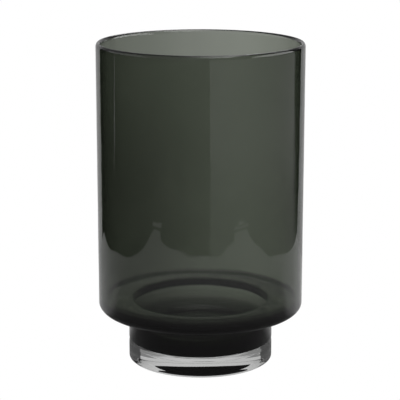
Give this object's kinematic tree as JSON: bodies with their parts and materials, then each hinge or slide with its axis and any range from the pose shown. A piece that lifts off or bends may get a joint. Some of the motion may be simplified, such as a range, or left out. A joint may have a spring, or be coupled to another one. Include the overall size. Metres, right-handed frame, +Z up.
{
  "type": "glass cylinder vase",
  "caption": "Straight-sided smoked glass cylinder vase whose floor steps down into a narrower hollow foot on a thick disc of clear glass; holds cut stems in water.",
  "frame": {"origin": "on the vase's axis, in the plane of the ring that it stands on", "axes": "+Z up along the axis of revolution, towards the mouth; X and Y are free, since the vase is round"},
  "size_m": [0.16, 0.16, 0.25],
  "materials": {
    "smoked_glass": "polished, neutral grey-green smoke tint through the glass",
    "clear_glass": "polished, colourless"
  },
  "bodies": {
    "root": {"smoked_vessel": "smoked_glass", "clear_base": "clear_glass"}
  },
  "joints": []
}
